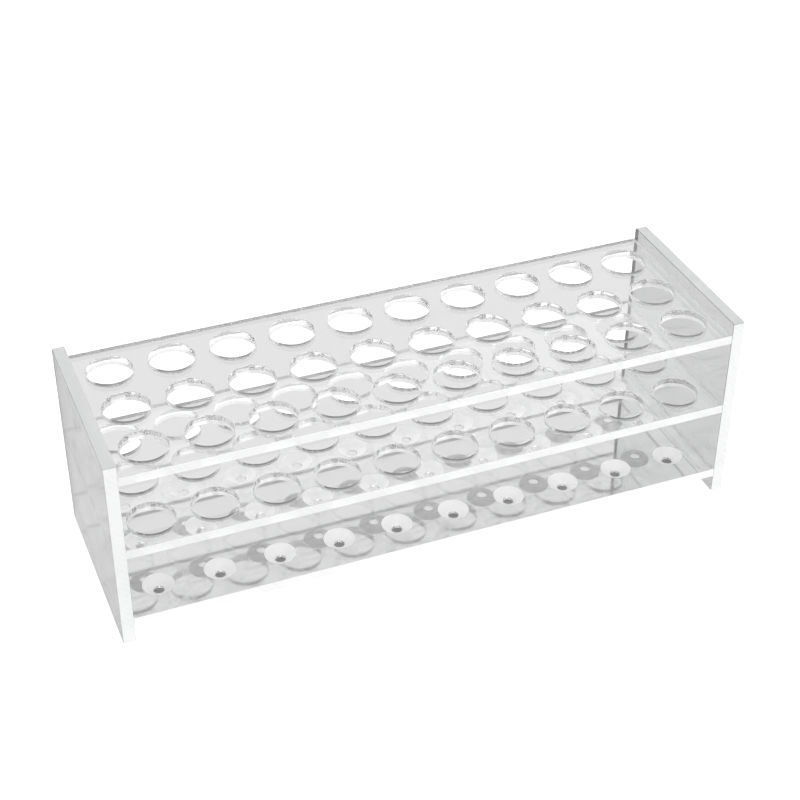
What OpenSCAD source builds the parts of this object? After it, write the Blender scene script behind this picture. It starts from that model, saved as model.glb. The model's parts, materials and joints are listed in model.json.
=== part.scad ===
// Clear sheet-plastic rack that holds a grid of small capped tubes upright.
// Three level shelves are cemented between two end plates. The two upper shelves
// guide each tube in a round hole, and a conical seat in the bottom shelf centres
// the tube's tip over a small drain hole.
// +X runs along the rack and +Z is up. The origin is under the rack's middle, at
// the level on which the end plates stand.

/* [Tube grid] */
// Number of tubes along the rack
columns = 10; // [1:1:12]
// Number of tubes across the rack
rows = 3; // [1:1:4]
// Distance between tube centres along the rack
column_pitch = 15; // [13:0.1:20]
// Distance between tube centres across the rack
row_pitch = 15.6; // [13:0.1:20]
// Diameter of the holes that guide a tube
tube_hole_d = 11.2; // [8:0.1:12]

/* [Shelves] */
// Thickness of each shelf
shelf_t = 2.4; // [2.2:0.1:5]
// Distance from the end tubes' centres to the end plates
end_margin = 8.3; // [7:0.1:15]
// Distance from the outer rows' centres to the shelves' long edges
side_margin = 9.4; // [7:0.1:15]
// Clear height between the top shelf and the middle shelf
upper_gap = 18.2; // [8:0.1:30]
// Clear height between the middle shelf and the bottom shelf
lower_gap = 17.7; // [8:0.1:30]

/* [Tube seats] */
// Rim diameter of the conical seat under each tube
seat_d = 7.6; // [4.5:0.1:8]
// Depth of the conical seat, from its rim to the drain hole
seat_depth = 1.7; // [0.5:0.1:2]
// Diameter of the drain hole at the bottom of each seat
drain_d = 2.6; // [1:0.1:4]

/* [End plates] */
// Thickness of each end plate
plate_t = 3; // [2:0.1:6]
// Height of the end plates above the top shelf
lip_h = 3.2; // [2:0.1:12]
// Height of the bottom shelf above the table
foot_h = 4.9; // [2:0.1:15]
// Radius of the end plates' four corners
corner_r = 0.8; // [0.2:0.1:2]

/* [Hidden] */
$fn = 64;

// How far a cutter runs past the faces that it opens
cut_over = 1;

// The shelves' outline, which the end plates match in depth
shelf_l = (columns - 1) * column_pitch + 2 * end_margin;
shelf_w = (rows - 1) * row_pitch + 2 * side_margin;

// Heights of the shelves' undersides, stacked from the feet upwards
bottom_z = foot_h;
middle_z = bottom_z + shelf_t + lower_gap;
top_z = middle_z + shelf_t + upper_gap;
plate_h = top_z + shelf_t + lip_h;

shelf_tint = [0.88, 0.91, 0.93, 0.45];
plate_tint = [0.74, 0.78, 0.81, 0.55];

// Repeats its children at every tube's place in the grid
module at_each_tube() {
    for (column = [0 : columns - 1], row = [0 : rows - 1])
        translate([
            (column - (columns - 1) / 2) * column_pitch,
            (row - (rows - 1) / 2) * row_pitch,
            0
        ])
            children();
}

// A blank shelf, cut to length between the end plates, with its underside at z = 0
module shelf_sheet() {
    translate([-shelf_l / 2, -shelf_w / 2, 0])
        cube([shelf_l, shelf_w, shelf_t]);
}

// A shelf with a straight through hole for every tube
module guide_shelf() {
    difference() {
        shelf_sheet();
        at_each_tube()
            translate([0, 0, -cut_over])
                cylinder(d = tube_hole_d, h = shelf_t + 2 * cut_over);
    }
}

// The space of one tube seat: a cone that opens upwards, over a straight drain hole
module seat_space() {
    rotate_extrude()
        polygon([
            [0, -cut_over],
            [drain_d / 2, -cut_over],
            [drain_d / 2, shelf_t - seat_depth],
            [seat_d / 2, shelf_t],
            [seat_d / 2, shelf_t + cut_over],
            [0, shelf_t + cut_over]
        ]);
}

// An end plate's outline: a rectangle that stands on y = 0, with rounded corners
module plate_outline() {
    translate([-shelf_w / 2, corner_r])
        square([shelf_w, plate_h - 2 * corner_r]);
    translate([-shelf_w / 2 + corner_r, 0])
        square([shelf_w - 2 * corner_r, plate_h]);
    for (side = [-1, 1], height = [corner_r, plate_h - corner_r])
        translate([side * (shelf_w / 2 - corner_r), height])
            circle(r = corner_r);
}

// The plate at the rack's +X end, with its inner face against the shelves' ends
module end_plate() {
    translate([shelf_l / 2, 0, 0])
        rotate([90, 0, 90])
            linear_extrude(height = plate_t)
                plate_outline();
}

module left_end_plate() {
    color(plate_tint)
        mirror([1, 0, 0])
            end_plate();
}

module right_end_plate() {
    color(plate_tint)
        end_plate();
}

module top_shelf() {
    color(shelf_tint)
        translate([0, 0, top_z])
            guide_shelf();
}

module middle_shelf() {
    color(shelf_tint)
        translate([0, 0, middle_z])
            guide_shelf();
}

module bottom_shelf() {
    color(shelf_tint)
        translate([0, 0, bottom_z])
            difference() {
                shelf_sheet();
                at_each_tube()
                    seat_space();
            }
}

left_end_plate();
right_end_plate();
top_shelf();
middle_shelf();
bottom_shelf();
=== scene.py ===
"""Clear acrylic rack for microcentrifuge tubes: its polished sheets, frosted seats and studio."""

import json
import math

import bmesh
import bpy
from bpy.props import FloatProperty, FloatVectorProperty, IntProperty, PointerProperty
from mathutils import Matrix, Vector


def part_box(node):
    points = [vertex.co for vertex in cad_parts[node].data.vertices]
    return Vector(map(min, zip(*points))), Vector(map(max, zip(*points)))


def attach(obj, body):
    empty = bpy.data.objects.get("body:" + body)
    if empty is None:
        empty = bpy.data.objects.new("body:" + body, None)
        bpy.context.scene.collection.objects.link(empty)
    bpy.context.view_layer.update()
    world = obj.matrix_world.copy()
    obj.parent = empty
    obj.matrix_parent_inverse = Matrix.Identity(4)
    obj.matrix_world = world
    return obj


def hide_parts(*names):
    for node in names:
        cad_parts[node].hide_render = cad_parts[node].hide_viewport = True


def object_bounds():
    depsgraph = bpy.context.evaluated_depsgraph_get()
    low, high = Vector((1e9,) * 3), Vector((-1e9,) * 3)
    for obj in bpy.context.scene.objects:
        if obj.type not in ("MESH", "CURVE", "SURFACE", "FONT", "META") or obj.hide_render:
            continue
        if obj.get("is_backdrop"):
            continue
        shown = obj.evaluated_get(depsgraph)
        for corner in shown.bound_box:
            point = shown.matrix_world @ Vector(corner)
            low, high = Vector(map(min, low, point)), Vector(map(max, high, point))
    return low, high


bl_info = {
    "name": "Microcentrifuge tube rack",
    "version": (1, 0, 0),
    "blender": (4, 5, 0),
    "location": "3D View > Sidebar > Tube rack",
    "description": "Builds a clear acrylic rack for small tubes and the studio it stands in",
    "category": "Object",
}

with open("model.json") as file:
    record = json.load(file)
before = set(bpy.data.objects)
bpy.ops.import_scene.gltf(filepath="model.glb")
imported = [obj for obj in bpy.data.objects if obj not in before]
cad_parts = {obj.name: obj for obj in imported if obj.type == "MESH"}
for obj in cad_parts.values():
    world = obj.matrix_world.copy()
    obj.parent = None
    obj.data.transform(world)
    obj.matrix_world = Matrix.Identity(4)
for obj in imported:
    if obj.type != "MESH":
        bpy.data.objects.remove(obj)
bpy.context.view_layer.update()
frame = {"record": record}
RECORD = frame["record"]
MM = 0.001

END_PLATES = ("left_end_plate", "right_end_plate")
GUIDE_SHELVES = ("top_shelf", "middle_shelf")
SEAT_SHELF = "bottom_shelf"

# Places of the finishes in a piece's list of materials. The first two are the same on all.
FACE, EDGE = 0, 1
PLATE_REAR, PLATE_TOP = 2, 3
WALL, EXIT, REAR, JOINT = 2, 3, 4, 5

# Mesh: angles and distances that tell one feature from another.
SHARP_ANGLE = math.radians(20)
SMOOTH_ANGLE = math.radians(5)
SAME_PLACE = 1e-6
ON_DIAGONAL = 1e-7
NEAR_RIM = 1 * MM
CORNER_SEGMENTS = 24

# Widths of the patches in the finishes.
VEIL_SIZE = 12 * MM
SMUDGE_SIZE = 7 * MM
SAW_PATCH_SIZE = 5 * MM
CEMENT_PATCH_SIZE = 4 * MM
ROUGH_PATCH_SIZE = 2 * MM

# Values that the patches run between, and where a patch starts and is full.
LEAST_VEIL = 0.3
PATCH_EDGES = (0.35, 0.65)
RIPPLE_EDGES = (0.2, 0.8)
SMUDGE_EDGES = (0.64, 0.7)
BUBBLE_EDGES = (0.08, 0.16)
CEMENT_ROUGHNESS = (0.05, 0.3)
ROUGH_SPREAD = (0.85, 1.15)
BUBBLE_SHADE = 0.85
SAW_WAVINESS = 2.5
RING_WAVINESS = 0.4

# Studio: how bright the ring of light is at each height in degrees, the headings at which
# the gloom is full and gone, counted from straight behind the rack, and the light bounces.
RING_STOPS = ((0, 0.8), (12, 0.8), (22, 0.9), (28, 1), (50, 1), (60, 0.8), (90, 0.6))
GLOOM_HEADINGS = (105, 70)
CLEAR_BOUNCES = 32
GLOSS_BOUNCES = 16
SENSOR_WIDTH = 36
VIEW_START, VIEW_END = 0.01, 20
WHITE = (1, 1, 1, 1)


# ---------------------------------------------------------------- what the frame says


def mounts_named(start):
    """The record's mounts whose names start with these letters."""
    return [mount for mount in RECORD["mounts"] if mount["name"].startswith(start)]


def bore_radius(start):
    """Radius of the bores whose names start with these letters, in metres."""
    return mounts_named(start)[0]["dims"]["r_mm"] * MM


def tube_places():
    """Centres of the tube holes, as pairs of x and y."""
    return [tuple(mount["pos_m"][:2]) for mount in mounts_named("tube_hole")]


def pitch(axis):
    """Distance between neighbouring tube centres along x (0) or y (1)."""
    steps = sorted({round(place[axis], 6) for place in tube_places()})
    return steps[1] - steps[0]


# ---------------------------------------------------------------- settings


class RackShape(bpy.types.PropertyGroup):
    """Small forms that the solids leave out or that a maker would adjust"""

    hole_sides: IntProperty(
        name="Hole sides", description="Straight sides that make up each drilled hole",
        default=96, min=16,
    )
    arris: FloatProperty(
        name="Arris", description="Width of the broken edge on every sheet and hole",
        default=0.14 * MM, unit="LENGTH",
    )
    corner_radius: FloatProperty(
        name="Corner radius", description="Radius of the end plates' four corners",
        default=0.8 * MM, unit="LENGTH",
    )
    cement_gap: FloatProperty(
        name="Cement gap", description="Film of cement between a shelf's end and its end plate",
        default=0.02 * MM, unit="LENGTH",
    )
    exit_height: FloatProperty(
        name="Exit height", description="Depth of the rougher ring where the drill leaves a hole",
        default=1.1 * MM, unit="LENGTH",
    )
    seat_radius: FloatProperty(
        name="Seat radius", description="Radius of the conical seat at the shelf's top face",
        default=3.8 * MM, unit="LENGTH",
    )


class RackFinish(bpy.types.PropertyGroup):
    """Colours and polish of the acrylic"""

    sheet_colour: FloatVectorProperty(
        name="Sheet colour", description="Colour that a clear sheet gives to light passing it",
        default=(0.99, 0.992, 0.992), subtype="COLOR", size=3,
    )
    # Painted shade: the sawn edges of the guide shelves and end plates take this greyer colour,
    # while the seat shelf's sawn edge keeps the sheet colour, so those edges read dimmer.
    painted_shade_edge_colour: FloatVectorProperty(
        name="Edge colour", description="Colour of the sawn edges of end plates and guide shelves",
        default=(0.9, 0.905, 0.905), subtype="COLOR", size=3,
    )
    plate_colour: FloatVectorProperty(
        name="End plate colour", description="Colour that an end plate gives to light passing it",
        default=(0.86, 0.865, 0.865), subtype="COLOR", size=3,
    )
    acrylic_ior: FloatProperty(
        name="Refractive index", description="Refractive index of cast acrylic", default=1.49,
    )
    ripple_size: FloatProperty(
        name="Ripple size", description="Width of the slow ripples in a cast face",
        default=14 * MM, unit="LENGTH",
    )
    ripple_depth: FloatProperty(
        name="Ripple depth", description="Height of the slow ripples in a cast face",
        default=0.005 * MM, unit="LENGTH",
    )
    smudge: FloatProperty(
        name="Smudge", description="Roughness of a finger smudge",
        default=0.12, subtype="FACTOR", min=0.0, max=1.0,
    )
    saw_pitch: FloatProperty(
        name="Saw pitch", description="Distance between the saw's marks",
        default=0.9 * MM, unit="LENGTH",
    )
    saw_depth: FloatProperty(
        name="Saw depth", description="Depth of the saw's marks", default=0.006 * MM,
        unit="LENGTH",
    )
    saw_shade: FloatProperty(
        name="Saw shade", description="Share of its colour that a sawn edge keeps in a mark",
        default=0.96, subtype="FACTOR", min=0.0, max=1.0,
    )
    ring_pitch: FloatProperty(
        name="Ring pitch", description="Distance between the rings of a drilled wall",
        default=0.28 * MM, unit="LENGTH",
    )
    ring_depth: FloatProperty(
        name="Ring depth", description="Depth of the rings of a drilled wall",
        default=0.0004 * MM, unit="LENGTH",
    )
    seat_ring_depth: FloatProperty(
        name="Seat ring depth", description="Depth of the rings that the countersink leaves",
        default=0.012 * MM, unit="LENGTH",
    )
    ring_shade: FloatProperty(
        name="Ring shade", description="Share of its colour that a drilled wall keeps in a ring",
        default=0.98, subtype="FACTOR", min=0.0, max=1.0,
    )
    wall_haze: FloatProperty(
        name="Wall haze", description="Roughness of the clear part of a drilled wall",
        default=0.12, subtype="FACTOR", min=0.0, max=1.0,
    )
    exit_clear: FloatProperty(
        name="Exit clearness", description="Share of the light that passes a hole's rough ring",
        default=0.4, subtype="FACTOR", min=0.0, max=1.0,
    )
    rear_clear: FloatProperty(
        name="Rear edge clearness", description="Share of the light that passes a rear edge",
        default=0.85, subtype="FACTOR", min=0.0, max=1.0,
    )
    seat_colour: FloatVectorProperty(
        name="Seat colour", description="Dull white that a countersink leaves",
        default=(0.97, 0.97, 0.97), subtype="COLOR", size=3,
    )
    joint_clear: FloatProperty(
        name="Joint clearness", description="Share of the light that passes a cemented joint",
        default=0.15, subtype="FACTOR", min=0.0, max=1.0,
    )
    bubble_spacing: FloatProperty(
        name="Bubble spacing", description="Distance between the bubbles in a cemented joint",
        default=1.6 * MM, unit="LENGTH",
    )
    edge_roughness: FloatProperty(
        name="Edge roughness", description="Roughness of the sawn edges of the sheets",
        default=0.22, subtype="FACTOR", min=0.0, max=1.0,
    )
    polish_roughness: FloatProperty(
        name="Polish roughness", description="Roughness of the end plates' polished edges",
        default=0.06, subtype="FACTOR", min=0.0, max=1.0,
    )
    rear_roughness: FloatProperty(
        name="Rear edge roughness", description="Roughness of the shelves' rear edges",
        default=0.22, subtype="FACTOR", min=0.0, max=1.0,
    )
    edge_clear: FloatProperty(
        name="Edge clearness", description="Share of the light that passes a sawn edge",
        default=0.2, subtype="FACTOR", min=0.0, max=1.0,
    )
    top_clear: FloatProperty(
        name="Top edge clearness", description="Share of the light that passes a scraped edge",
        default=0.6, subtype="FACTOR", min=0.0, max=1.0,
    )
    top_roughness: FloatProperty(
        name="Top edge roughness", description="Roughness of the end plates' scraped top edges",
        default=0.1, subtype="FACTOR", min=0.0, max=1.0,
    )
    shelf_haze: FloatProperty(
        name="Shelf haze", description="Greatest roughness of the sheets' faces",
        default=0.04, subtype="FACTOR", min=0.0, max=1.0,
    )
    seat_clear: FloatProperty(
        name="Seat clearness", description="Share of the light that passes a frosted seat",
        default=0.03, subtype="FACTOR", min=0.0, max=1.0,
    )
    seat_roughness: FloatProperty(
        name="Seat roughness", description="Roughness of the machined seats",
        default=0.5, subtype="FACTOR", min=0.0, max=1.0,
    )


class RackStudio(bpy.types.PropertyGroup):
    """Camera, floor and light"""

    camera_place: FloatVectorProperty(
        name="Camera place", description="Where the camera stands",
        default=(-0.12746, -0.31441, 0.27559), subtype="TRANSLATION", size=3,
    )
    camera_turn: FloatVectorProperty(
        name="Camera turn", description="The camera's heading, dip and roll",
        default=[math.radians(angle) for angle in (21.98, 35.67, 0.32)],
        subtype="EULER", size=3,
    )
    lens: FloatProperty(
        name="Lens", description="Focal length in millimetres", default=76.99,
    )
    floor_size: FloatProperty(
        name="Floor size", description="Side of the square floor", default=6.0, unit="LENGTH",
    )
    floor_drop: FloatProperty(
        name="Floor drop", description="Air between the feet and the floor",
        default=0.1 * MM, unit="LENGTH",
    )
    floor_colour: FloatVectorProperty(
        name="Floor colour", description="Colour of the table that catches the shadow",
        default=(0.4, 0.4, 0.4), subtype="COLOR", size=3,
    )
    floor_white: FloatProperty(
        name="Floor white", description="Light added where the floor is looked at directly",
        default=0.9,
    )
    floor_sheen: FloatVectorProperty(
        name="Floor sheen", description="Share of the light that the table mirrors",
        default=(0.46, 0.46, 0.46), subtype="COLOR", size=3,
    )
    floor_glow: FloatProperty(
        name="Floor glow", description="Light that the table itself sends into the acrylic",
        default=0.1,
    )
    floor_roughness: FloatProperty(
        name="Floor roughness", description="Roughness of the table's sheen",
        default=0.05, subtype="FACTOR", min=0.0, max=1.0,
    )
    gloom: FloatProperty(
        name="Gloom", description="Strength of the light before the rack that gloss shows",
        default=0.2,
    )
    gloom_band: FloatVectorProperty(
        name="Gloom band", description="Heights at which the gloom starts, is full and ends",
        default=[math.radians(angle) for angle in (23, 28, 46, 54)], unit="ROTATION",
        size=4,
    )
    # The painted shade under the rack: how far inside the outline it ends and how soft its border
    # is.
    painted_shade_inset: FloatVectorProperty(
        name="Shade inset", description="How far inside the rack's outline the shade ends",
        default=(1 * MM, 7 * MM), subtype="TRANSLATION", size=2,
    )
    painted_shade_edge: FloatProperty(
        name="Shade edge", description="Soft border of the shade under the rack",
        default=6 * MM, unit="LENGTH",
    )
    light: FloatProperty(
        name="Light", description="Strength of the even soft light on everything dull",
        default=1.22,
    )
    back_light: FloatProperty(
        name="Back light", description="Strength of the soft light behind that gloss shows",
        default=1.32,
    )


# ---------------------------------------------------------------- mesh helpers


def finish_piece(name, mesh_builder, materials, body, nodes):
    """Turns a bmesh into a finished piece that stands for its CAD nodes."""
    mesh = bpy.data.meshes.new(name)
    mesh_builder.to_mesh(mesh)
    mesh_builder.free()
    for material in materials:
        mesh.materials.append(material)
    piece = bpy.data.objects.new(name, mesh)
    bpy.context.scene.collection.objects.link(piece)
    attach(piece, body)
    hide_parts(*nodes)
    return piece


def extrude_loop(bm, edges, material_index):
    """Grows a closed loop of edges outwards by one ring and returns the new ring's parts."""
    grown = bmesh.ops.extrude_edge_only(bm, edges=edges)["geom"]
    points = [part for part in grown if isinstance(part, bmesh.types.BMVert)]
    rim = set(points)
    ring = [
        part for part in grown
        if isinstance(part, bmesh.types.BMEdge) and set(part.verts) <= rim
    ]
    for part in grown:
        if isinstance(part, bmesh.types.BMFace):
            part.material_index = material_index
    return points, ring


def set_ring(points, radius, height):
    """Places a ring's points on a circle about the z axis."""
    for point in points:
        flat = point.co.xy.normalized() * radius
        point.co = (flat.x, flat.y, height)


def square_ring(points, half_x, half_y, height):
    """Pushes a ring's points out to the border of one tube's cell."""
    for point in points:
        x, y = point.co.xy
        if abs(abs(x) - abs(y)) < ON_DIAGONAL:
            point.co = (math.copysign(half_x, x), math.copysign(half_y, y), height)
            continue
        reach = max(abs(x) / half_x, abs(y) / half_y)
        point.co = (x / reach, y / reach, height)


def drilled_sheet(low, high, wall, sides):
    """A sheet with one hole at each tube's place. The wall lists each hole's rings from
    the top face down, as radius, height and the material of the band above the ring."""
    bm = bmesh.new()
    half = (pitch(0) / 2, pitch(1) / 2)
    first = bmesh.ops.create_circle(bm, segments=sides, radius=wall[0][0])["verts"]
    set_ring(first, wall[0][0], wall[0][1])
    top_edges = bm.edges[:]
    edges = top_edges
    for radius, height, material_index in wall[1:]:
        points, edges = extrude_loop(bm, edges, material_index)
        set_ring(points, radius, height)
    points, _ = extrude_loop(bm, edges, FACE)
    square_ring(points, *half, low.z)
    points, _ = extrude_loop(bm, top_edges, FACE)
    square_ring(points, *half, high.z)
    cell = bm.verts[:] + bm.edges[:] + bm.faces[:]
    places = tube_places()
    for x, y in places[1:]:
        copied = bmesh.ops.duplicate(bm, geom=cell)["geom"]
        corners = [part for part in copied if isinstance(part, bmesh.types.BMVert)]
        bmesh.ops.translate(bm, verts=corners, vec=(x, y, 0))
    first_corners = [part for part in cell if isinstance(part, bmesh.types.BMVert)]
    bmesh.ops.translate(bm, verts=first_corners, vec=(places[0][0], places[0][1], 0))
    bmesh.ops.remove_doubles(bm, verts=bm.verts, dist=SAME_PLACE)
    stretch_border(bm, low, high)
    border = [edge for edge in bm.edges if edge.is_boundary]
    rim = bmesh.ops.bridge_loops(bm, edges=border)["faces"]
    for face in rim:
        face.material_index = EDGE
    return bm


def stretch_border(bm, low, high):
    """Moves the outermost points of the joined cells out to the sheet's own outline."""
    border = {point for edge in bm.edges if edge.is_boundary for point in edge.verts}
    reach = [max(point.co[axis] for point in border) for axis in (0, 1)]
    for point in border:
        for axis in (0, 1):
            if abs(abs(point.co[axis]) - reach[axis]) < SAME_PLACE:
                point.co[axis] = high[axis] if point.co[axis] > 0 else low[axis]


def dress_rim(bm, low, high):
    """Gives a shelf's rear edge and its two cemented ends their own finishes."""
    for face in bm.faces:
        middle = face.calc_center_median()
        inside = low.x + NEAR_RIM < middle.x < high.x - NEAR_RIM
        if face.normal.y > 0.5 and middle.y > high.y - NEAR_RIM:
            face.material_index = REAR
        if abs(face.normal.x) > 0.5 and not inside:
            face.material_index = JOINT


def break_edges(bm, width, segments=2):
    """Takes a narrow arris off every sharp edge and shades the rest smooth."""
    sharp = [
        edge for edge in bm.edges
        if edge.is_manifold and edge.calc_face_angle() > SHARP_ANGLE
    ]
    bmesh.ops.bevel(
        bm, geom=sharp, offset=width, affect="EDGES", segments=segments,
        profile=0.5, material=-1, clamp_overlap=True,
    )
    bmesh.ops.recalc_face_normals(bm, faces=bm.faces)
    for face in bm.faces:
        face.smooth = True
    for edge in bm.edges:
        edge.smooth = edge.calc_face_angle(0) < SMOOTH_ANGLE


# ---------------------------------------------------------------- materials


def new_material(name):
    """An empty node material and its Principled shader."""
    material = bpy.data.materials.new(name)
    material.use_nodes = True
    shader = material.node_tree.nodes["Principled BSDF"]
    return material, shader


def math_node(nodes, links, operation, first, second):
    """The result of one operation on two sockets or numbers, as a socket."""
    node = nodes.new("ShaderNodeMath")
    node.operation = operation
    for socket, value in zip(node.inputs, (first, second)):
        if isinstance(value, bpy.types.NodeSocket):
            links.new(value, socket)
        else:
            socket.default_value = value
    return node.outputs["Value"]


def object_place(nodes):
    """Where a point lies on the rack, as a socket."""
    return nodes.new("ShaderNodeTexCoord").outputs["Object"]


def cloud(nodes, links, size, shades, edges=PATCH_EDGES, detail=3):
    """Soft patches of a given size that run from the first shade to the second."""
    noise = nodes.new("ShaderNodeTexNoise")
    links.new(object_place(nodes), noise.inputs["Vector"])
    noise.inputs["Scale"].default_value = 1 / size
    noise.inputs["Detail"].default_value = detail
    return falloff(nodes, links, noise.outputs["Fac"], edges, shades)


def tool_marks(nodes, links, direction, pitch_of_marks, waviness):
    """Fine lines that a tool leaves, one for each step along the direction."""
    wave = nodes.new("ShaderNodeTexWave")
    wave.bands_direction = direction
    links.new(object_place(nodes), wave.inputs["Vector"])
    wave.inputs["Scale"].default_value = 2 * math.pi / (20 * pitch_of_marks)
    wave.inputs["Distortion"].default_value = waviness
    wave.inputs["Detail"].default_value = 2
    wave.inputs["Detail Scale"].default_value = 1.5
    return wave.outputs["Fac"]


def relief(nodes, links, shader, height, depth):
    """Raises the surface by the height, from 0 to the depth."""
    bump = nodes.new("ShaderNodeBump")
    bump.inputs["Distance"].default_value = depth
    links.new(height, bump.inputs["Height"])
    links.new(bump.outputs["Normal"], shader.inputs["Normal"])


def tinted(nodes, links, shader, colour, share, mask):
    """Lets the colour drop to a share of itself where the mask is 1."""
    mix = nodes.new("ShaderNodeMix")
    mix.data_type = "RGBA"
    mix.inputs["A"].default_value = (*colour, 1)
    mix.inputs["B"].default_value = (*[part * share for part in colour], 1)
    links.new(mask, mix.inputs["Factor"])
    links.new(mix.outputs["Result"], shader.inputs["Base Color"])


def roughened(nodes, links, shader, roughness):
    """Lets the roughness vary a little from patch to patch."""
    shades = [share * roughness for share in ROUGH_SPREAD]
    patches = cloud(nodes, links, ROUGH_PATCH_SIZE, shades)
    links.new(patches, shader.inputs["Roughness"])


def acrylic(name, colour, finish, clear=1.0):
    """Cast acrylic with no finish yet, and its parts: nodes, links and shader."""
    material, shader = new_material(name)
    shader.inputs["Base Color"].default_value = (*colour, 1)
    shader.inputs["Transmission Weight"].default_value = clear
    shader.inputs["IOR"].default_value = finish.acrylic_ior
    return material, material.node_tree.nodes, material.node_tree.links, shader


def polished(name, colour, finish, haze, clear=1.0):
    """A cast face: a slow ripple, faint haze and a few finger smudges."""
    material, nodes, links, shader = acrylic(name, colour, finish, clear)
    ripple = cloud(nodes, links, finish.ripple_size, (0.0, 1.0), RIPPLE_EDGES, 0)
    relief(nodes, links, shader, ripple, finish.ripple_depth)
    veil = cloud(nodes, links, VEIL_SIZE, (LEAST_VEIL * haze, haze))
    smudge = cloud(nodes, links, SMUDGE_SIZE, (0.0, finish.smudge), SMUDGE_EDGES)
    links.new(math_node(nodes, links, "ADD", veil, smudge), shader.inputs["Roughness"])
    return material


def sawn(name, colour, finish, clear, roughness):
    """An edge that keeps the slanting marks of the saw."""
    material, nodes, links, shader = acrylic(name, colour, finish, clear)
    marks = tool_marks(nodes, links, "DIAGONAL", finish.saw_pitch, SAW_WAVINESS)
    relief(nodes, links, shader, marks, finish.saw_depth)
    patches = cloud(nodes, links, SAW_PATCH_SIZE, (0.0, 1.0))
    worn = math_node(nodes, links, "MULTIPLY", marks, patches)
    tinted(nodes, links, shader, colour, finish.saw_shade, worn)
    roughened(nodes, links, shader, roughness)
    return material


def cemented(name, colour, finish):
    """A joint that the cement has softened: smooth, with cloudy patches and bubbles."""
    material, nodes, links, shader = acrylic(name, colour, finish, finish.joint_clear)
    bubbles = nodes.new("ShaderNodeTexVoronoi")
    links.new(object_place(nodes), bubbles.inputs["Vector"])
    bubbles.inputs["Scale"].default_value = 1 / finish.bubble_spacing
    distance = bubbles.outputs["Distance"]
    bubble = falloff(nodes, links, distance, BUBBLE_EDGES, (1.0, 0.0))
    tinted(nodes, links, shader, colour, BUBBLE_SHADE, bubble)
    patches = cloud(nodes, links, CEMENT_PATCH_SIZE, CEMENT_ROUGHNESS)
    links.new(patches, shader.inputs["Roughness"])
    return material


def turned(name, colour, finish, clear, roughness, depth):
    """A wall that keeps the fine rings of the drill or the countersink."""
    material, nodes, links, shader = acrylic(name, colour, finish, clear)
    rings = tool_marks(nodes, links, "Z", finish.ring_pitch, RING_WAVINESS)
    relief(nodes, links, shader, rings, depth)
    tinted(nodes, links, shader, colour, finish.ring_shade, rings)
    roughened(nodes, links, shader, roughness)
    return material


# ---------------------------------------------------------------- operators


class RACK_OT_end_plates(bpy.types.Operator):
    """Build the two end plates that the shelves are cemented between"""

    bl_idname = "rack.end_plates"
    bl_label = "End plates"

    def execute(self, context):
        shape, finish = context.scene.rack_shape, context.scene.rack_finish
        colour = finish.plate_colour
        materials = [
            polished("end_plate_acrylic", colour, finish, finish.polish_roughness),
            # The plates' sawn edges take the greyer edge colour: painted shade.
            sawn(
                "end_plate_edge", finish.painted_shade_edge_colour, finish, finish.edge_clear,
                finish.edge_roughness,
            ),
            polished("end_plate_rear_edge", colour, finish, finish.polish_roughness),
            polished(
                "end_plate_top_edge", colour, finish, finish.top_roughness, finish.top_clear,
            ),
        ]
        for node in END_PLATES:
            low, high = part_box(node)
            bm = bmesh.new()
            bmesh.ops.create_cube(bm, size=1)
            bmesh.ops.scale(bm, verts=bm.verts, vec=high - low)
            bmesh.ops.translate(bm, verts=bm.verts, vec=(low + high) / 2)
            corners = [
                edge for edge in bm.edges
                if abs(edge.verts[0].co.x - edge.verts[1].co.x) > (high.x - low.x) / 2
            ]
            bmesh.ops.bevel(
                bm, geom=corners, offset=shape.corner_radius, affect="EDGES",
                segments=CORNER_SEGMENTS, profile=0.5, material=-1,
            )
            break_edges(bm, shape.arris)
            for face in bm.faces:
                face.material_index = EDGE
                if abs(face.normal.x) > 0.9:
                    face.material_index = FACE
                elif face.normal.y > 0.5:
                    face.material_index = PLATE_REAR
                elif face.normal.z > 0.5:
                    face.material_index = PLATE_TOP
            finish_piece(
                node + "_clear", bm, materials, "root", [node],
            )
        return {"FINISHED"}


class RACK_OT_guide_shelves(bpy.types.Operator):
    """Build the two upper shelves, drilled with the holes that guide the tubes"""

    bl_idname = "rack.guide_shelves"
    bl_label = "Guide shelves"

    def execute(self, context):
        shape, finish = context.scene.rack_shape, context.scene.rack_finish
        colour = finish.sheet_colour
        materials = [
            polished("guide_shelf_acrylic", colour, finish, finish.shelf_haze),
            # The guide shelves' sawn edges take the greyer edge colour: painted shade.
            sawn(
                "guide_shelf_edge", finish.painted_shade_edge_colour, finish, finish.edge_clear,
                finish.edge_roughness,
            ),
            turned("hole_wall", colour, finish, 1.0, finish.wall_haze, finish.ring_depth),
            turned(
                "hole_exit", colour, finish, finish.exit_clear, finish.edge_roughness,
                finish.ring_depth,
            ),
            sawn(
                "guide_shelf_rear_edge", colour, finish, finish.rear_clear,
                finish.rear_roughness,
            ),
            cemented("guide_shelf_joint", colour, finish),
        ]
        radius = bore_radius("tube_hole")
        for node in GUIDE_SHELVES:
            low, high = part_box(node)
            low.x += shape.cement_gap
            high.x -= shape.cement_gap
            burr = low.z + shape.exit_height
            wall = [(radius, high.z, WALL), (radius, burr, WALL), (radius, low.z, EXIT)]
            bm = drilled_sheet(low, high, wall, shape.hole_sides)
            break_edges(bm, shape.arris)
            dress_rim(bm, low, high)
            finish_piece(node + "_clear", bm, materials, "root", [node])
        return {"FINISHED"}


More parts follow.
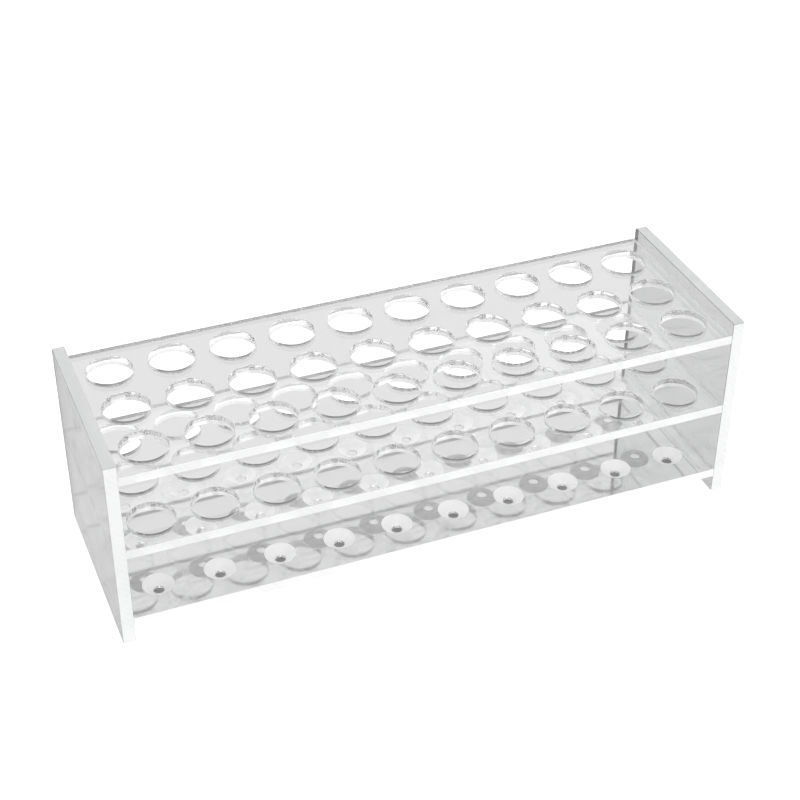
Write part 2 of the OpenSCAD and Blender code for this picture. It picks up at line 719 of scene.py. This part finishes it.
class RACK_OT_seat_shelf(bpy.types.Operator):
    """Build the bottom shelf with its conical seats and drain holes"""

    bl_idname = "rack.seat_shelf"
    bl_label = "Seat shelf"

    def execute(self, context):
        shape, finish = context.scene.rack_shape, context.scene.rack_finish
        colour = finish.sheet_colour
        materials = [
            polished("seat_shelf_acrylic", colour, finish, finish.shelf_haze),
            sawn("seat_shelf_edge", colour, finish, finish.edge_clear, finish.edge_roughness),
            turned(
                "frosted_seat", finish.seat_colour, finish, finish.seat_clear,
                finish.seat_roughness, finish.seat_ring_depth,
            ),
            turned("drain_wall", colour, finish, 1.0, finish.wall_haze, finish.ring_depth),
            sawn(
                "seat_shelf_rear_edge", colour, finish, finish.rear_clear,
                finish.rear_roughness,
            ),
            cemented("seat_shelf_joint", colour, finish),
        ]
        drain = bore_radius("tip_seat")
        mouth = mounts_named("tip_seat")[0]["pos_m"][2]
        low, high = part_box(SEAT_SHELF)
        low.x += shape.cement_gap
        high.x -= shape.cement_gap
        wall = [
            (shape.seat_radius, high.z, WALL),
            (drain, mouth, WALL),
            (drain, low.z, EXIT),
        ]
        bm = drilled_sheet(low, high, wall, shape.hole_sides)
        break_edges(bm, shape.arris)
        dress_rim(bm, low, high)
        finish_piece(
            SEAT_SHELF + "_clear", bm, materials, "root", [SEAT_SHELF],
        )
        return {"FINISHED"}


def make_camera(scene, studio):
    """The camera, at its place and turned by its heading, dip and roll."""
    data = bpy.data.cameras.new("camera")
    camera = bpy.data.objects.new("camera", data)
    scene.collection.objects.link(camera)
    scene.camera = camera
    heading, dip, roll = studio.camera_turn
    turn = (
        Matrix.Rotation(-heading, 4, "Z")
        @ Matrix.Rotation(math.pi / 2 - dip, 4, "X")
        @ Matrix.Rotation(roll, 4, "Z")
    )
    camera.matrix_world = Matrix.Translation(studio.camera_place) @ turn
    data.sensor_width = SENSOR_WIDTH
    data.lens = studio.lens
    data.clip_start = VIEW_START
    data.clip_end = VIEW_END


def path_shares(nodes, links):
    """Two sockets: 1 where the light falls on a dull surface, and 1 where it reaches the
    eye by way of gloss and clear acrylic alone."""
    path = nodes.new("ShaderNodeLightPath")
    dull = math_node(nodes, links, "MINIMUM", path.outputs["Diffuse Depth"], 1.0)
    dull_or_eye = math_node(nodes, links, "MAXIMUM", dull, path.outputs["Is Camera Ray"])
    return dull, math_node(nodes, links, "SUBTRACT", 1.0, dull_or_eye)


def falloff(nodes, links, value, edges, shades):
    """A smooth step: the first shade before the first edge, the second past the last."""
    step = nodes.new("ShaderNodeMapRange")
    step.interpolation_type = "SMOOTHSTEP"
    links.new(value, step.inputs["Value"])
    step.inputs["From Min"].default_value, step.inputs["From Max"].default_value = edges
    step.inputs["To Min"].default_value, step.inputs["To Max"].default_value = shades
    return step.outputs["Result"]


def floor_material(studio):
    """A table that is white to the eye, with a painted shade under the rack, where its white light
    is left out in a soft box. By way of gloss and clear acrylic it is a sheen that mirrors the
    world, with a faint glow of its own."""
    material, table = new_material("floor_white")
    nodes, links = material.node_tree.nodes, material.node_tree.links
    table.inputs["Base Color"].default_value = (*studio.floor_colour, 1)
    table.inputs["Roughness"].default_value = 1
    table.inputs["Specular IOR Level"].default_value = 0
    table.inputs["Emission Color"].default_value = WHITE
    coordinates = nodes.new("ShaderNodeTexCoord")
    place = nodes.new("ShaderNodeSeparateXYZ")
    links.new(coordinates.outputs["Object"], place.inputs["Vector"])
    low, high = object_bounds()
    # Painted shade: outside a soft box under the rack the eye sees the floor's white light, inside
    # the box it sees none, so the floor there reads as shadow. Dull surfaces still find the floor
    # white inside the box.
    shade = None
    for axis in (0, 1):
        away = math_node(nodes, links, "ABSOLUTE", place.outputs[axis], 0.0)
        edge = high[axis] - studio.painted_shade_inset[axis]
        edges = (edge - studio.painted_shade_edge, edge)
        clear = falloff(nodes, links, away, edges, (0.0, studio.floor_white))
        shade = clear if shade is None else math_node(nodes, links, "MAXIMUM", shade, clear)
    dull, gloss = path_shares(nodes, links)
    under = math_node(nodes, links, "MULTIPLY", dull, studio.floor_white)
    shade = math_node(nodes, links, "MAXIMUM", shade, under)
    links.new(shade, table.inputs["Emission Strength"])
    seen = nodes.new("ShaderNodeBsdfGlossy")
    seen.inputs["Color"].default_value = (*studio.floor_sheen, 1)
    seen.inputs["Roughness"].default_value = studio.floor_roughness
    glow = nodes.new("ShaderNodeEmission")
    glow.inputs["Color"].default_value = WHITE
    glow.inputs["Strength"].default_value = studio.floor_glow
    both = nodes.new("ShaderNodeAddShader")
    links.new(seen.outputs["BSDF"], both.inputs[0])
    links.new(glow.outputs["Emission"], both.inputs[1])
    either = nodes.new("ShaderNodeMixShader")
    links.new(gloss, either.inputs["Fac"])
    links.new(table.outputs["BSDF"], either.inputs[1])
    links.new(both.outputs["Shader"], either.inputs[2])
    links.new(either.outputs["Shader"], nodes["Material Output"].inputs["Surface"])
    return material


def make_floor(scene, studio):
    """A plain floor just under the feet. It catches the rack's shadow, has a painted shade under
    the rack, and looks white.
    """
    material = floor_material(studio)
    bm = bmesh.new()
    bmesh.ops.create_grid(bm, x_segments=1, y_segments=1, size=studio.floor_size / 2)
    bmesh.ops.translate(bm, verts=bm.verts, vec=(0, 0, -studio.floor_drop))
    mesh = bpy.data.meshes.new("floor")
    bm.to_mesh(mesh)
    bm.free()
    floor = bpy.data.objects.new("floor", mesh)
    scene.collection.objects.link(floor)
    mesh.materials.append(material)
    floor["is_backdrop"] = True


def make_world(scene, studio):
    """Even light for dull surfaces and a white backdrop for the eye. Gloss and clear
    acrylic show a ring of soft light, with a gloom in front of the rack at some heights."""
    world = bpy.data.worlds.new("studio")
    world.use_nodes = True
    scene.world = world
    nodes, links = world.node_tree.nodes, world.node_tree.links
    ring = nodes["Background"]
    direction = nodes.new("ShaderNodeTexCoord")
    height = nodes.new("ShaderNodeSeparateXYZ")
    links.new(direction.outputs["Generated"], height.inputs["Vector"])
    ramp = nodes.new("ShaderNodeValToRGB")
    links.new(height.outputs["Z"], ramp.inputs["Fac"])
    band_shades = ramp.color_ramp
    band_shades.interpolation = "EASE"
    for index, (angle, shade) in enumerate(RING_STOPS):
        place = math.sin(math.radians(angle))
        if index < 2:
            stop = band_shades.elements[index]
            stop.position = place
        else:
            stop = band_shades.elements.new(place)
        stop.color = (shade, shade, shade, 1)
    level = nodes.new("ShaderNodeVectorMath")
    level.operation = "MULTIPLY"
    level.inputs[1].default_value = (1, 1, 0)
    links.new(direction.outputs["Generated"], level.inputs[0])
    heading = nodes.new("ShaderNodeVectorMath")
    heading.operation = "NORMALIZE"
    links.new(level.outputs["Vector"], heading.inputs[0])
    side = nodes.new("ShaderNodeSeparateXYZ")
    links.new(heading.outputs["Vector"], side.inputs["Vector"])
    edges = [math.cos(math.radians(angle)) for angle in GLOOM_HEADINGS]
    dark = falloff(nodes, links, side.outputs["Y"], edges, (1.0, 0.0))
    heights = [math.sin(angle) for angle in studio.gloom_band]
    for edges, shades in ((heights[:2], (0.0, 1.0)), (heights[2:], (1.0, 0.0))):
        band = falloff(nodes, links, height.outputs["Z"], edges, shades)
        dark = math_node(nodes, links, "MULTIPLY", dark, band)
    strength = falloff(nodes, links, dark, (0.0, 1.0), (studio.back_light, studio.gloom))
    links.new(strength, ring.inputs["Strength"])
    links.new(ramp.outputs["Color"], ring.inputs["Color"])
    plain = nodes.new("ShaderNodeBackground")
    plain.inputs["Color"].default_value = WHITE
    plain.inputs["Strength"].default_value = studio.light
    dull, _ = path_shares(nodes, links)
    lit = nodes.new("ShaderNodeMixShader")
    links.new(dull, lit.inputs["Fac"])
    links.new(ring.outputs["Background"], lit.inputs[1])
    links.new(plain.outputs["Background"], lit.inputs[2])
    backdrop = nodes.new("ShaderNodeBackground")
    backdrop.inputs["Color"].default_value = WHITE
    path = nodes.new("ShaderNodeLightPath")
    either = nodes.new("ShaderNodeMixShader")
    links.new(path.outputs["Is Camera Ray"], either.inputs["Fac"])
    links.new(lit.outputs["Shader"], either.inputs[1])
    links.new(backdrop.outputs["Background"], either.inputs[2])
    links.new(either.outputs["Shader"], nodes["World Output"].inputs["Surface"])


class RACK_OT_studio(bpy.types.Operator):
    """Set up the camera, the floor and the light"""

    bl_idname = "rack.studio"
    bl_label = "Studio"

    def execute(self, context):
        scene, studio = context.scene, context.scene.rack_studio
        make_camera(scene, studio)
        make_floor(scene, studio)
        make_world(scene, studio)
        scene.view_settings.view_transform = "Standard"
        scene.cycles.max_bounces = CLEAR_BOUNCES
        scene.cycles.transmission_bounces = CLEAR_BOUNCES
        scene.cycles.glossy_bounces = GLOSS_BOUNCES
        return {"FINISHED"}


class RACK_PT_panel(bpy.types.Panel):
    """Lists the rack's settings and the buttons that build it"""

    bl_label = "Tube rack"
    bl_idname = "RACK_PT_panel"
    bl_space_type = "VIEW_3D"
    bl_region_type = "UI"
    bl_category = "Tube rack"

    def draw(self, context):
        scene = context.scene
        for group in (scene.rack_shape, scene.rack_finish, scene.rack_studio):
            box = self.layout.box()
            for name in group.bl_rna.properties.keys():
                if name not in ("rna_type", "name"):
                    box.prop(group, name)
        for operator in STEPS:
            self.layout.operator(operator.bl_idname)


GROUPS = (RackShape, RackFinish, RackStudio)
STEPS = (RACK_OT_end_plates, RACK_OT_guide_shelves, RACK_OT_seat_shelf, RACK_OT_studio)


def register():
    for cls in (*GROUPS, *STEPS, RACK_PT_panel):
        bpy.utils.register_class(cls)
    bpy.types.Scene.rack_shape = PointerProperty(type=RackShape)
    bpy.types.Scene.rack_finish = PointerProperty(type=RackFinish)
    bpy.types.Scene.rack_studio = PointerProperty(type=RackStudio)


def unregister():
    del bpy.types.Scene.rack_studio
    del bpy.types.Scene.rack_finish
    del bpy.types.Scene.rack_shape
    for cls in reversed((*GROUPS, *STEPS, RACK_PT_panel)):
        bpy.utils.unregister_class(cls)


def main():
    register()
    bpy.ops.rack.end_plates()
    bpy.ops.rack.guide_shelves()
    bpy.ops.rack.seat_shelf()
    bpy.ops.rack.studio()


if __name__ == "__main__":
    main()
